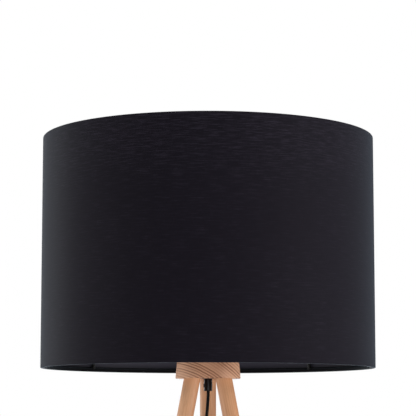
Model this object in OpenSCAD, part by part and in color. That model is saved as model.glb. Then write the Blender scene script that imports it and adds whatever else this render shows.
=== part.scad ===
// Tripod floor lamp: three round wooden legs in a wooden hub, a screw lampholder
// standing on the hub, and a fabric drum shade that hangs on the lampholder's rings.
// Millimetres, +Z up. The origin is on the lamp's axis at floor level.
// The front of the lamp, between its two front legs, faces -Y.

/* [Hub] */
// Diameter of the wooden hub at its underside
hub_d = 89.6; // [86:0.2:96]
// Height of the hub
hub_h = 40; // [38:1:44]
// Slope of the hub's side from the vertical, in degrees
hub_slope = 5; // [0:1:6]
// Height of the hub's underside above the floor
hub_z = 1176; // [1150:1:1200]

/* [Legs] */
// Diameter of a leg
leg_d = 22.5; // [20:0.5:23]
// Distance of a leg's axis from the lamp's axis, at the hub's underside
leg_top_r = 25; // [25:1:27]
// Distance of a foot's centre from the lamp's axis
foot_r = 277; // [260:1:290]

/* [Shade] */
// Outer diameter of the shade
shade_d = 460; // [440:2:480]
// Height of the shade
shade_h = 318; // [280:1:340]
// Height of the shade's lower edge above the hub's underside
shade_lift = 14; // [12:1:18]
// Height of the shade's fitter above its lower edge
fitter_recess = 57; // [55:1:58]
// Angle from +X to the spider's first arm, in degrees
spider_angle = 48.3; // [0:0.1:90]
// Diameter of a spider arm
arm_d = 5; // [4:0.5:6]

/* [Cord] */
// Width of the flat twin cord
cord_w = 5.4; // [5:0.1:5.8]
// Thickness of the flat twin cord
cord_t = 3.2; // [2.8:0.1:3.4]

/* [Foot switch] */
// Length of the foot switch
switch_l = 78; // [74:1:80]
// Width of the foot switch
switch_w = 34; // [32:1:38]
// Travel of the button
press_travel = 3; // [2:0.5:3]

/* [Hidden] */
$fn = 96;

pine = [0.85, 0.67, 0.50];
pine_dark = [0.78, 0.60, 0.44];
black_cloth = [0.10, 0.10, 0.11];
black_plastic = [0.07, 0.07, 0.07];
steel = [0.72, 0.72, 0.74];
nickel = [0.80, 0.78, 0.72];
opal = [0.95, 0.95, 0.92];
porcelain = [0.85, 0.83, 0.78];
wire_black = [0.12, 0.12, 0.12];

// A gap between pieces that touch in the real lamp and belong to one body
snug = 0.05;
// A gap between pieces of different bodies
free = 0.3;
// How far a cutting shape runs past the face it cuts
over = 1;

// --- hub and legs ---
back = 90;
front_left = 210;
front_right = 330;
leg_angles = [back, front_left, front_right];
lean = atan((foot_r - leg_top_r) / hub_z);
socket_depth = 18;
glide_h = 4;
leg_l = hub_z / cos(lean) + leg_d;
hub_top_z = hub_z + hub_h;
hub_top_d = hub_d - 2 * hub_h * tan(hub_slope);
hub_chamfer = 0.6;
insert_d = 9;
insert_l = 13;
bolt_d = 6;
bolt_l = 25;
bolt_hole_d = 6.6;
bolt_head_d = 10;
bolt_head_h = 6;
bolt_socket_d = 5.8; // across the corners of the six-sided socket
bolt_socket_h = 3;
washer_d = 12;
washer_t = 1.5;
washer_hole_d = 13;
seat_at = 28; // where the washer sits, along the leg's axis from the hub's underside
glide_d = 18;
glide_low_d = 15;
glide_bevel_h = 1.5;
nail_d = 2;
nail_l = 14;
nail_z = 2;

// --- centre column ---
tube_d = 10;
tube_bore = 8;
tube_hole_d = 10.3;
coupling_d = 14;
coupling_h = 22;
flange_d = 21;
flange_h = 2;
grip_d = 11.4;
grip_l = 17;
grip_low_d = 10.6;
grip_bevel_h = 1.2;
grip_neck_l = 9;
grip_z = hub_z - grip_l;
exit_x = 0.2; // the cord leaves the grip slightly to the right of its middle
lead_turn = 30; // the angle of the flat cord's width to the Y axis, in the grip
grip_screw_d = 6;
grip_screw_up = 7.4; // the screw's height above the grip's lower end
grip_screw_proud = 0.5;
lead_half = cord_t / 2 + (cord_w - cord_t) / 2 * sin(lead_turn);
grip_screw_x = exit_x - lead_half - 2 * snug; // the screw's inner end presses on the cord
plate_d = 54;
plate_t = 1.5;
cap_z = hub_top_z + plate_t;
cap_h = 24;
cap_d = 39;
cap_low_d = 35;
cap_bevel_h = 2.5;
cap_floor = 3;
cap_wall = 2.5;
cap_boss_d = 16;
cap_boss_h = 11;
tube_top_z = cap_z + 10;
lead_top_z = cap_z + 13;
tube_low_z = hub_z + 10;
holder_d = 40;
shell_z = cap_z + cap_h;
shell_h = 42;
shell_bore = 35;
shell_lip_bore = 31;
shell_lip_h = 3;
block_d = 33;
block_z = cap_z + 15;
terminal_z = cap_z + 13;
terminal_x = 10;
terminal_d = 3.5;
terminal_l = 7;
terminal_head_d = 5.5;
terminal_head_h = 2;
sleeve_d = 28.6;
sleeve_bore = 27.4;
sleeve_hole_d = 16;
sleeve_h = 28;
contact_t = 0.6;

// --- shade ---
shade_z = hub_z + shade_lift;
shade_r = shade_d / 2;
shade_top_z = shade_z + shade_h;
fabric_t = 1;
liner_t = 0.8;
inner_r = shade_r - fabric_t - liner_t - 2 * snug;
wire_d = 4;
hem_h = 6.5;
hem_wall = 0.5;
wire_r = inner_r - hem_wall - wire_d / 2 - 0.1;
hem_depth = wire_d + 2 * hem_wall + 0.2;
fitter_z = shade_z + fitter_recess;
fitter_t = 2;
fitter_d = 66;
fitter_bore = holder_d + 1;
ring_d = 56;
ring_low_h = 5;
ring_up_h = 7;
ring_bore = holder_d + 0.2;
arm_in_r = 29;
arm_bend = 14;
arm_bend_steps = 6;
arm_lean = 9; // the arm's outer end leans outward by this many degrees, going down
arm_low_z = shade_z + 5;
arm_low_r = wire_r - 0.5;
arm_z = fitter_z + fitter_t / 2;
arm_bend_r = arm_low_r - (arm_z - arm_bend - arm_low_z) * tan(arm_lean) - arm_bend;

// --- bulb ---
tip_z = 1250;
sleeve_z = tip_z - 3; // the top of the contact block, and the sleeve's lower end
bulb_r = 30;
bulb_centre_z = tip_z + 74;
bulb_wall = 1;
neck_r = 14;
neck_l = 44; // from the neck's lower end up to the centre of the round part
bulb_cap_d = 26;
bulb_cap_low_d = 18;
bulb_cap_low_h = 3;
bulb_cap_wall = 0.8;
bulb_cap_z = tip_z + 4;
bulb_cap_h = 24;
collar_d = 2 * (neck_r + bulb_cap_wall);
collar_bevel_h = 1.5;
collar_h = 3;

// --- cord ---
// Each point of a route is [x, y, z, roll]. Roll 0 lays the wide side flat and 90 sets it on edge.
drop_route = [
    [exit_x, 0, grip_z, lead_turn], [exit_x, 0, grip_z - 7, lead_turn],
    [-0.5, 0, grip_z - 19, lead_turn], [-2.4, 0, grip_z - 37, lead_turn],
    [-8, 0, 1090, 20], [-15.5, 0, 1050, 8], [-22.5, 0, 1000, 0],
    [-29, 0, 930, 0], [-33, 0, 850, 0], [-36, 0, 750, 0], [-38, 0, 640, 0],
    [-39, 0, 520, 0], [-40, 0, 400, 0], [-41, 0, 290, 0], [-43, 0, 200, 0],
    [-48, 0, 130, 0], [-59, 0, 70, 0], [-78, 0, 31, 0], [-102, 0, 10, 0],
    [-128, 1, 2.8, 0], [-152, 7, 1.7, 0], [-173, 22, 1.7, 0], [-183, 46, 1.7, 0],
    [-178, 72, 1.7, 0], [-160, 91, 1.8, 0], [-138, 99, 3, 0], [-118, 100, 6.5, 0],
    [-104, 100, 8, 0]
];
tail_route = [
    [-28, 100, 8, 0], [-14, 100, 7, 5], [0, 100, 4.5, 35], [15, 100, 3.4, 75],
    [32, 100, 3.3, 90]
];
lead_route = [
    [58, 100, 8.6, 90], [70, 100, 7, 75], [84, 100, 5.2, 35], [98, 100, 5.6, 5],
    [112, 100, 6.9, 0]
];
coil_x = 45;
coil_y = 67;
coil_in_r = 21.3;
coil_out_r = 34.8;
coil_z = 0.6;
coil_h = 11.2;
tie_w = 8;
tie_t = 0.6;

// --- foot switch ---
switch_x = -66;
switch_y = 100;
switch_wall = 2;
base_h = 12;
cover_h = 10;
switch_entry_z = 8;
button_d = 24;
button_flange_d = 27;
button_flange_h = 2;
button_proud = 5;
spring_d = 12;
spring_wire = 1;
spring_turns = 4;
post_d = 6;
post_x = 30.5;
post_y = 9.5;
screw_d = 3;
post_bore = screw_d + 2 * snug;
screw_l = 16;
screw_head_d = 5.2;
screw_head_h = 2;
screw_z = 0.4;
cover_top = 2;
cover_step = 1.5;
button_bevel = 1.5;
button_hollow = 5; // the depth of the hollow under the button that takes the spring
contact_x = 19;
contact_h = 6;
leaf_l = 13;

// --- plug ---
plug_x = 134;
plug_y = 100;
plug_l = 34;
plug_w = 35;
plug_h = 13.8;
plug_tail_w = 15;
relief_l = 22;
relief_d = 11;
relief_low_d = 7.4;
pin_d = 4;
pin_l = 19;
pin_gap = 18.6;

// Places children on a leg's axis, with their +Z up along the leg and their origin
// level with the hub's underside.
module on_leg(angle) {
    rotate([0, 0, angle])
        translate([leg_top_r, 0, hub_z])
            rotate([0, -lean, 0])
                children();
}

module ring(d, bore, h) {
    difference() {
        cylinder(d = d, h = h);
        translate([0, 0, -over])
            cylinder(d = bore, h = h + 2 * over);
    }
}

// A bar with half-round ends, drawn flat.
module slot_2d(l, w) {
    square([l - w, w], center = true);
    for (side = [-1, 1])
        translate([side * (l - w) / 2, 0])
            circle(d = w);
}

// --- a tube swept along a route ---
function unit(v) = v / norm(v);
function place(p) = [p[0], p[1], p[2]];
// A point between b and c on the smooth curve through a, b, c and d
function between(a, b, c, d, t) =
    0.5 * (2 * b + (c - a) * t + (2 * a - 5 * b + 4 * c - d) * t * t
        + (3 * b - a - 3 * c + d) * t * t * t);
function smooth(route, steps) =
    let (last = len(route) - 1)
    concat(
        [for (i = [0 : last - 1], k = [0 : steps - 1])
            between(route[max(i - 1, 0)], route[i], route[i + 1],
                route[min(i + 2, last)], k / steps)],
        [route[last]]
    );
function heading(points, i) =
    unit(place(points[min(i + 1, len(points) - 1)]) - place(points[max(i - 1, 0)]));
// The level direction across the cord. Where it hangs straight down that is -Y, as it is
// where the drop then turns towards -X, so that the cord isn't twisted.
function level(t) = norm([t[0], t[1]]) < 0.05 ? [0, -1, 0] : unit([-t[1], t[0], 0]);
// The flat cord's outline: two half-rounds, w wide and t thick
function twin_outline(w, t) = [
    for (side = [0, 1], a = [0 : 45 : 180])
        let (turn = a + 180 * side)
        [t / 2 * cos(turn), t / 2 * sin(turn) + (1 - 2 * side) * (w - t) / 2]
];
function round_outline(d, sides) = [
    for (i = [0 : sides - 1]) d / 2 * [cos(i * 360 / sides), sin(i * 360 / sides)]
];

module sweep(points, outline) {
    n = len(outline);
    rings = len(points);
    corners = [
        for (i = [0 : rings - 1])
            let (
                t = heading(points, i),
                across = level(t),
                upright = cross(t, across),
                roll = points[i][3],
                wide = across * cos(roll) + upright * sin(roll),
                thin = cross(wide, t)
            )
            for (q = outline) place(points[i]) + thin * q[0] + wide * q[1]
    ];
    sides = [
        for (i = [0 : rings - 2], k = [0 : n - 1], half = [0, 1])
            let (a = i * n + k, b = i * n + (k + 1) % n)
            half == 0 ? [a, b, b + n] : [a, b + n, a + n]
    ];
    first = [for (k = [n - 1 : -1 : 0]) k];
    last = [for (k = [0 : n - 1]) (rings - 1) * n + k];
    polyhedron(corners, concat([first], sides, [last]), convexity = 8);
}

// --- hub ---
module hub_block() {
    lower_r = hub_d / 2;
    upper_r = hub_top_d / 2;
    color(pine_dark)
        difference() {
            translate([0, 0, hub_z])
                rotate_extrude()
                    polygon([
                        [0, 0],
                        [lower_r - hub_chamfer, 0],
                        [lower_r, hub_chamfer],
                        [upper_r, hub_h - hub_chamfer],
                        [upper_r - hub_chamfer, hub_h],
                        [0, hub_h]
                    ]);
            translate([0, 0, hub_z - over])
                cylinder(d = tube_hole_d, h = hub_h + 2 * over);
            translate([0, 0, hub_z - over])
                cylinder(d = coupling_d + 2 * snug, h = coupling_h + over + snug);
            translate([0, 0, hub_z - over])
                cylinder(d = flange_d + 2 * snug, h = flange_h + over + snug);
            for (angle = leg_angles)
                on_leg(angle) {
                    translate([0, 0, -leg_d])
                        cylinder(d = leg_d + 2 * snug, h = leg_d + socket_depth + snug);
                    cylinder(d = bolt_hole_d, h = hub_h);
                    translate([0, 0, seat_at])
                        cylinder(d = washer_hole_d, h = hub_h);
                }
        }
}

module hub_plate() {
    color(steel)
        translate([0, 0, hub_top_z])
            ring(plate_d, tube_hole_d, plate_t);
}

// --- legs ---
module leg(angle) {
    color(pine)
        difference() {
            on_leg(angle)
                difference() {
                    translate([0, 0, -leg_l])
                        cylinder(d = leg_d, h = leg_l + socket_depth);
                    translate([0, 0, socket_depth - insert_l - 2])
                        cylinder(d = insert_d + 2 * snug, h = insert_l + 2 + over);
                }
            translate([-foot_r - leg_d, -foot_r - leg_d, -2 * leg_d])
                cube([2 * (foot_r + leg_d), 2 * (foot_r + leg_d), 2 * leg_d + glide_h]);
            at_foot(angle)
                cylinder(d = nail_d + 2 * snug, h = nail_z + nail_l + snug);
        }
}

module at_foot(angle) {
    rotate([0, 0, angle])
        translate([foot_r - glide_h * tan(lean), 0, 0])
            children();
}

module leg_front_left() {
    leg(front_left);
}

module leg_front_right() {
    leg(front_right);
}

module leg_back() {
    leg(back);
}

module leg_inserts() {
    color(steel)
        for (angle = leg_angles)
            on_leg(angle)
                translate([0, 0, socket_depth - insert_l])
                    ring(insert_d, bolt_d + 2 * snug, insert_l);
}

module leg_bolts() {
    color(steel)
        for (angle = leg_angles)
            on_leg(angle)
                translate([0, 0, seat_at + washer_t])
                    difference() {
                        union() {
                            cylinder(d = bolt_head_d, h = bolt_head_h);
                            translate([0, 0, -bolt_l])
                                cylinder(d = bolt_d, h = bolt_l + over);
                        }
                        translate([0, 0, bolt_head_h - bolt_socket_h])
                            cylinder(d = bolt_socket_d, h = bolt_head_h, $fn = 6);
                    }
}

module bolt_washers() {
    color(steel)
        for (angle = leg_angles)
            on_leg(angle)
                translate([0, 0, seat_at])
                    ring(washer_d, bolt_hole_d, washer_t);
}

module foot_glides() {
    color(black_plastic)
        for (angle = leg_angles)
            at_foot(angle)
                difference() {
                    union() {
                        cylinder(d1 = glide_low_d, d2 = glide_d, h = glide_bevel_h);
                        translate([0, 0, glide_bevel_h])
                            cylinder(d = glide_d, h = glide_h - glide_bevel_h);
                    }
                    translate([0, 0, nail_z])
                        cylinder(d = nail_d + 2 * snug, h = glide_h);
                }
}

module glide_nails() {
    color(steel)
        for (angle = leg_angles)
            at_foot(angle)
                translate([0, 0, nail_z])
                    cylinder(d = nail_d, h = nail_l);
}

// --- centre column ---
module threaded_tube() {
    color(steel)
        translate([0, 0, tube_low_z])
            ring(tube_d, tube_bore, tube_top_z - tube_low_z);
}

module tube_coupling() {
    color(steel)
        translate([0, 0, hub_z])
            difference() {
                union() {
                    cylinder(d = flange_d, h = flange_h);
                    cylinder(d = coupling_d, h = coupling_h);
                }
                translate([0, 0, -over])
                    cylinder(d = tube_d + 2 * snug, h = coupling_h + 2 * over);
            }
}

// The grip's threaded neck goes up into the coupling, and its body hangs below the hub.
module cord_grip() {
    color(black_plastic)
        difference() {
            union() {
                translate([0, 0, grip_z])
                    cylinder(d1 = grip_low_d, d2 = grip_d, h = grip_bevel_h);
                translate([0, 0, grip_z + grip_bevel_h])
                    cylinder(d = grip_d, h = grip_l - grip_bevel_h - snug);
                translate([0, 0, hub_z - over])
                    cylinder(d = tube_d, h = grip_neck_l + over);
            }
            translate([exit_x, 0, grip_z - over])
                linear_extrude(grip_l + grip_neck_l + 2 * over)
                    rotate(90 - lead_turn)
                        slot_2d(cord_w + 2 * snug, cord_t + 2 * snug);
            translate([0, 0, grip_z + grip_screw_up])
                rotate([0, -90, 0])
                    cylinder(d = grip_screw_d + 2 * snug, h = grip_d);
        }
}

module cord_grip_screw() {
    color(black_plastic)
        translate([grip_screw_x, 0, grip_z + grip_screw_up])
            rotate([0, -90, 0])
                cylinder(d = grip_screw_d, h = grip_d / 2 + grip_screw_proud + grip_screw_x);
}

module inner_lead() {
    color(black_plastic)
        translate([exit_x, 0, grip_z])
            linear_extrude(lead_top_z - grip_z)
                rotate(90 - lead_turn)
                    slot_2d(cord_w, cord_t);
}

// --- lampholder ---
module lampholder_cap() {
    color(black_plastic)
        translate([0, 0, cap_z])
            difference() {
                union() {
                    difference() {
                        union() {
                            cylinder(d1 = cap_low_d, d2 = cap_d, h = cap_bevel_h);
                            translate([0, 0, cap_bevel_h])
                                cylinder(d = cap_d, h = cap_h - cap_bevel_h);
                        }
                        translate([0, 0, cap_floor])
                            cylinder(d = cap_d - 2 * cap_wall, h = cap_h);
                    }
                    cylinder(d = cap_boss_d, h = cap_boss_h);
                }
                translate([0, 0, -over])
                    cylinder(d = tube_d + 2 * snug, h = cap_boss_h + 2 * over);
            }
}

module lampholder_shell() {
    color(black_plastic)
        translate([0, 0, shell_z])
            difference() {
                cylinder(d = holder_d, h = shell_h);
                translate([0, 0, -over])
                    cylinder(d = shell_bore, h = shell_h - shell_lip_h + over);
                cylinder(d = shell_lip_bore, h = shell_h + over);
            }
}

module at_terminals() {
    for (side = [-1, 1])
        translate([side * terminal_x, 0, terminal_z])
            children();
}

module contact_block() {
    color(porcelain)
        difference() {
            translate([0, 0, block_z])
                cylinder(d = block_d, h = sleeve_z - block_z);
            at_terminals()
                cylinder(d = terminal_d + 2 * snug, h = terminal_l + over);
        }
}

module terminal_screws() {
    color(nickel)
        at_terminals() {
            cylinder(d = terminal_head_d, h = terminal_head_h - snug);
            cylinder(d = terminal_d, h = terminal_l);
        }
}

module contact_sleeve() {
    color(nickel)
        translate([0, 0, sleeve_z])
            difference() {
                cylinder(d = sleeve_d, h = sleeve_h);
                translate([0, 0, contact_t])
                    cylinder(d = sleeve_bore, h = sleeve_h);
                translate([0, 0, -over])
                    cylinder(d = sleeve_hole_d, h = 2 * over);
            }
}

module centre_contact() {
    color(nickel)
        translate([0, 0, sleeve_z]) {
            translate([-4, -3, 0])
                cube([8, 6, contact_t]);
            translate([0, 0, contact_t])
                cylinder(d = 5, h = 1.9);
        }
}

module shade_ring_lower() {
    color(black_plastic)
        translate([0, 0, fitter_z - free - ring_low_h])
            ring(ring_d, ring_bore, ring_low_h);
}

module shade_ring_upper() {
    color(black_plastic)
        translate([0, 0, fitter_z + fitter_t + free])
            difference() {
                union() {
                    cylinder(d = ring_d, h = 2);
                    cylinder(d = ring_d - 6, h = ring_up_h);
                }
                translate([0, 0, -over])
                    cylinder(d = ring_bore, h = ring_up_h + 2 * over);
            }
}

// --- bulb ---
module bulb_outline(r, neck) {
    polygon(concat(
        [[0, -neck_l], [neck, -neck_l], [neck, -r]],
        [for (a = [-42 : 6 : 84]) [r * cos(a), r * sin(a)]],
        [[0, r]]
    ));
}

module bulb_glass() {
    color(opal)
        translate([0, 0, bulb_centre_z])
            rotate_extrude()
                difference() {
                    bulb_outline(bulb_r, neck_r);
                    bulb_outline(bulb_r - bulb_wall, neck_r - bulb_wall);
                    translate([0, -neck_l - over])
                        square([neck_r - bulb_wall, 2 * over]);
                }
}

module bulb_cap() {
    color(nickel)
        translate([0, 0, bulb_cap_z])
            difference() {
                union() {
                    cylinder(d1 = bulb_cap_low_d, d2 = bulb_cap_d, h = bulb_cap_low_h);
                    translate([0, 0, bulb_cap_low_h])
                        cylinder(d = bulb_cap_d, h = bulb_cap_h - bulb_cap_low_h);
                    translate([0, 0, bulb_cap_h])
                        cylinder(d1 = bulb_cap_d, d2 = collar_d, h = collar_bevel_h);
                    translate([0, 0, bulb_cap_h + collar_bevel_h])
                        cylinder(d = collar_d, h = collar_h);
                }
                translate([0, 0, bulb_cap_low_h])
                    cylinder(d = bulb_cap_d - 2 * bulb_cap_wall, h = bulb_cap_h - over);
                translate([0, 0, bulb_centre_z - neck_l - snug - bulb_cap_z])
                    cylinder(d = 2 * neck_r + 2 * snug, h = 2 * collar_h);
            }
}

module bulb_tip() {
    color(black_plastic)
        translate([0, 0, tip_z])
            union() {
                cylinder(d1 = 8, d2 = 9, h = 1);
                translate([0, 0, 1])
                    cylinder(d1 = 11, d2 = 17.5, h = 3 - snug);
            }
}

// --- shade ---
module drum(r, wall, z, h) {
    translate([0, 0, z])
        ring(2 * r, 2 * (r - wall), h, $fn = 180);
}

module shade_fabric() {
    color(black_cloth)
        drum(shade_r, fabric_t, shade_z, shade_h);
}

module shade_liner() {
    color([0.2, 0.2, 0.21])
        drum(shade_r - fabric_t - snug, liner_t, shade_z + 1, shade_h - 2);
}

module wire_ring(z) {
    color(wire_black)
        translate([0, 0, z])
            rotate_extrude($fn = 180)
                translate([wire_r, 0])
                    circle(d = wire_d, $fn = 24);
}

module bottom_ring() {
    wire_ring(shade_z + 0.7 + wire_d / 2);
}

module top_ring() {
    wire_ring(shade_top_z - 0.7 - wire_d / 2);
}

// The cloth turned in over a ring: a channel that is open at the ring's far side.
module hem_outline() {
    difference() {
        translate([inner_r - hem_depth, 0])
            square([hem_depth, hem_h]);
        translate([inner_r - hem_depth + hem_wall, hem_wall])
            square([hem_depth - 2 * hem_wall, hem_h]);
    }
}

module bottom_hem() {
    color(black_cloth)
        difference() {
            translate([0, 0, shade_z])
                rotate_extrude($fn = 180)
                    hem_outline();
            for (k = [0 : 3])
                rotate([0, 0, spider_angle + 90 * k])
                    translate([inner_r - hem_depth - over, -arm_d / 2 - 0.5, shade_z + hem_wall + over])
                        cube([hem_depth, arm_d + 1, hem_h]);
        }
}

module top_hem() {
    color(black_cloth)
        translate([0, 0, shade_top_z])
            mirror([0, 0, 1])
                rotate_extrude($fn = 180)
                    hem_outline();
}

module spider_fitter() {
    color(wire_black)
        translate([0, 0, fitter_z])
            ring(fitter_d, fitter_bore, fitter_t);
}

// The middle line of an arm: out level from the fitter, down through a bend near the
// wall, and on to the ring.
function arm_line() = concat(
    [[arm_in_r, 0, arm_z, 0], [arm_bend_r / 2, 0, arm_z, 0]],
    [for (a = [90 : -(90 - arm_lean) / arm_bend_steps : arm_lean])
        [arm_bend_r + arm_bend * cos(a), 0, arm_z - arm_bend + arm_bend * sin(a), 0]],
    [[arm_low_r, 0, arm_low_z, 0]]
);

module spider_arms() {
    color(wire_black)
        for (k = [0 : 3])
            rotate([0, 0, spider_angle + 90 * k])
                sweep(arm_line(), round_outline(arm_d, 12));
}

// --- cord ---
module cord_drop() {
    color(black_plastic)
        sweep(smooth(drop_route, 2), twin_outline(cord_w, cord_t));
}

module cord_tail() {
    color(black_plastic)
        sweep(smooth(tail_route, 2), twin_outline(cord_w, cord_t));
}

module cord_lead() {
    color(black_plastic)
        sweep(smooth(lead_route, 2), twin_outline(cord_w, cord_t));
}

module cord_coil() {
    color(black_plastic)
        translate([coil_x, coil_y, coil_z])
            ring(2 * coil_out_r, 2 * coil_in_r, coil_h);
}

module coil_tie() {
    depth = coil_out_r - coil_in_r;
    gap = 0.4;
    color(black_cloth)
        translate([coil_x, coil_y - coil_out_r - gap - tie_t, 0])
            difference() {
                translate([-tie_w / 2, 0, 0])
                    cube([tie_w, depth + 2 * gap + 2 * tie_t + 1, coil_h + coil_z + tie_t]);
                translate([-tie_w / 2 - over, tie_t, tie_t])
                    cube([tie_w + 2 * over, depth + 2 * gap + 1, coil_h + snug]);
            }
}

// --- foot switch ---
module at_switch(z) {
    translate([switch_x, switch_y, z])
        children();
}

module cord_entries(z) {
    translate([0, 0, z])
        rotate([0, 90, 0])
            linear_extrude(switch_l + 2 * over, center = true)
                rotate(90)
                    slot_2d(cord_w + 2 * snug, cord_t + 2 * snug);
}

// The two screw posts stand at opposite corners.
module at_posts(z) {
    for (side = [-1, 1])
        translate([side * post_x, side * post_y, z])
            children();
}

module switch_base() {
    color(black_plastic)
        at_switch(0)
            difference() {
                union() {
                    difference() {
                        linear_extrude(base_h)
                            slot_2d(switch_l, switch_w);
                        translate([0, 0, switch_wall])
                            linear_extrude(base_h)
                                slot_2d(switch_l - 2 * switch_wall, switch_w - 2 * switch_wall);
                    }
                    at_posts(0)
                        cylinder(d = post_d, h = base_h);
                }
                cord_entries(switch_entry_z);
                at_posts(-over) {
                    cylinder(d = post_bore, h = base_h + 2 * over);
                    cylinder(d = screw_head_d + 4 * snug, h = screw_z + screw_head_h + over);
                }
            }
}

module switch_cover() {
    color(black_plastic)
        at_switch(base_h + snug)
            difference() {
                union() {
                    difference() {
                        union() {
                            linear_extrude(cover_h - cover_step)
                                slot_2d(switch_l, switch_w);
                            linear_extrude(cover_h)
                                slot_2d(switch_l - 2 * cover_step, switch_w - 2 * cover_step);
                        }
                        translate([0, 0, -over])
                            linear_extrude(cover_h - cover_top + over)
                                slot_2d(switch_l - 2 * switch_wall, switch_w - 2 * switch_wall);
                    }
                    at_posts(0)
                        cylinder(d = post_d, h = cover_h - 1);
                }
                translate([0, 0, -over])
                    cylinder(d = button_d + 2 * free, h = cover_h + 2 * over);
                at_posts(-over)
                    cylinder(d = post_bore, h = 6 + over);
            }
}

module switch_screws() {
    color(steel)
        at_switch(0)
            at_posts(screw_z) {
                cylinder(d = screw_head_d, h = screw_head_h - snug);
                cylinder(d = screw_d, h = screw_l);
            }
}

// The flange under the cover stops the button at the top of its travel.
module switch_button() {
    top_z = base_h + cover_h;
    flange_z = top_z - cover_top - free - button_flange_h;
    bevel_z = top_z + button_proud - button_bevel;
    color(black_plastic)
        at_switch(0)
            difference() {
                union() {
                    translate([0, 0, flange_z])
                        cylinder(d = button_flange_d, h = button_flange_h);
                    translate([0, 0, flange_z])
                        cylinder(d = button_d, h = bevel_z - flange_z);
                    translate([0, 0, bevel_z])
                        cylinder(d1 = button_d, d2 = button_d - 2 * button_bevel, h = button_bevel);
                }
                translate([0, 0, flange_z - over])
                    cylinder(d = spring_d + 3, h = button_hollow + over);
            }
}

module switch_contacts() {
    color(nickel)
        at_switch(0)
            for (side = [-1, 1])
                translate([side * contact_x, 0, switch_wall]) {
                    translate([-4, -6, 0])
                        cube([8, 12, contact_h]);
                    translate([-leaf_l / 2 - side * 5.5, -2, contact_h])
                        cube([leaf_l, 4, contact_t]);
                }
}

module switch_spring() {
    low_z = switch_wall + 0.2 + spring_wire / 2;
    hollow_z = base_h + cover_h - cover_top - free - button_flange_h + button_hollow;
    high_z = hollow_z - 0.2 - spring_wire / 2;
    steps = 14;
    color(steel)
        sweep(
            [for (i = [0 : spring_turns * steps])
                let (
                    a = i * 360 / steps,
                    z = low_z + (high_z - low_z) * i / (spring_turns * steps)
                )
                [switch_x + (spring_d / 2) * cos(a), switch_y + (spring_d / 2) * sin(a), z, 0]],
            round_outline(spring_wire, 6)
        );
}

// --- plug ---
module plug_body() {
    half = plug_w / 2;
    tail = plug_tail_w / 2;
    color(black_plastic)
        translate([plug_x, plug_y, 0])
            linear_extrude(plug_h)
                polygon([
                    [0, -tail], [9, -tail], [20, -half + 1], [plug_l - 1, -half],
                    [plug_l, -half + 1], [plug_l, half - 1], [plug_l - 1, half],
                    [20, half - 1], [9, tail], [0, tail]
                ]);
}

module plug_relief() {
    color(black_plastic)
        translate([plug_x - relief_l, plug_y, plug_h / 2])
            rotate([0, 90, 0])
                cylinder(d1 = relief_low_d, d2 = relief_d, h = relief_l);
}

module plug_pins() {
    color(nickel)
        for (side = [-1, 1])
            translate([plug_x + plug_l, plug_y + side * pin_gap / 2, plug_h / 2])
                rotate([0, 90, 0])
                    union() {
                        cylinder(d = pin_d, h = pin_l - 1);
                        translate([0, 0, pin_l - 1])
                            cylinder(d1 = pin_d, d2 = pin_d - 1.6, h = 1);
                    }
}

hub_block();
hub_plate();
leg_front_left();
leg_front_right();
leg_back();
leg_inserts();
leg_bolts();
bolt_washers();
foot_glides();
glide_nails();
threaded_tube();
tube_coupling();
cord_grip();
cord_grip_screw();
inner_lead();
lampholder_cap();
lampholder_shell();
contact_block();
contact_sleeve();
centre_contact();
terminal_screws();
shade_ring_lower();
shade_ring_upper();
bulb_glass();
bulb_cap();
bulb_tip();
shade_fabric();
shade_liner();
top_ring();
bottom_ring();
top_hem();
bottom_hem();
spider_fitter();
spider_arms();
cord_drop();
cord_tail();
cord_coil();
cord_lead();
coil_tie();
switch_base();
switch_cover();
switch_contacts();
switch_spring();
switch_screws();
switch_button();
plug_body();
plug_relief();
plug_pins();
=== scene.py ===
# The looks of the tripod floor lamp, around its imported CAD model.
# Lengths are in metres and +Z is up. The lamp's front faces -Y, towards the camera.
import math

import bmesh
import bpy
from mathutils import Matrix, Vector, noise


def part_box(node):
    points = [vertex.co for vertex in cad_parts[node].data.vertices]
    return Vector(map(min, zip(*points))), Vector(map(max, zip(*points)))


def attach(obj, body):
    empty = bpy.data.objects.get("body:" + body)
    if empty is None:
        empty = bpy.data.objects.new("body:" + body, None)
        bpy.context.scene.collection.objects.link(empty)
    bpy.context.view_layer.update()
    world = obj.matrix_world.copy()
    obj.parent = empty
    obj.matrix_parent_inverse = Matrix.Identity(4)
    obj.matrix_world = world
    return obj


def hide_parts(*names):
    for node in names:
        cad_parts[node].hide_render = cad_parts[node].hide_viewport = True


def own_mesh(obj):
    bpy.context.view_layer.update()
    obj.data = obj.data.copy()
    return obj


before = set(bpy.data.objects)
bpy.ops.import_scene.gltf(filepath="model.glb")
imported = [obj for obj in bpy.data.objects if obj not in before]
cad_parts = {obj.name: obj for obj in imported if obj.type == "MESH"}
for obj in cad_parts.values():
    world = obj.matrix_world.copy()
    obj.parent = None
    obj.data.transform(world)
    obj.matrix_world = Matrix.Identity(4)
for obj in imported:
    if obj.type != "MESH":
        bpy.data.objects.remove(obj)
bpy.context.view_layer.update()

MM = 0.001
TURN = 2 * math.pi
SAME_POINT = 0.001 * MM


# --- camera ---
SENSOR_WIDTH_MM = 36
LENS_MM = 147.9
CAMERA_AT = (0, -2.363, 1.1125)
CAMERA_TILT = math.radians(97.240)


def make_camera():
    """The photograph's view: from the front and just below the shade, a little upwards."""
    data = bpy.data.cameras.new("camera")
    data.sensor_width = SENSOR_WIDTH_MM
    data.lens = LENS_MM
    camera = bpy.data.objects.new("camera", data)
    camera.location = CAMERA_AT
    camera.rotation_euler = (CAMERA_TILT, 0, 0)
    bpy.context.scene.collection.objects.link(camera)
    bpy.context.scene.camera = camera


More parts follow.
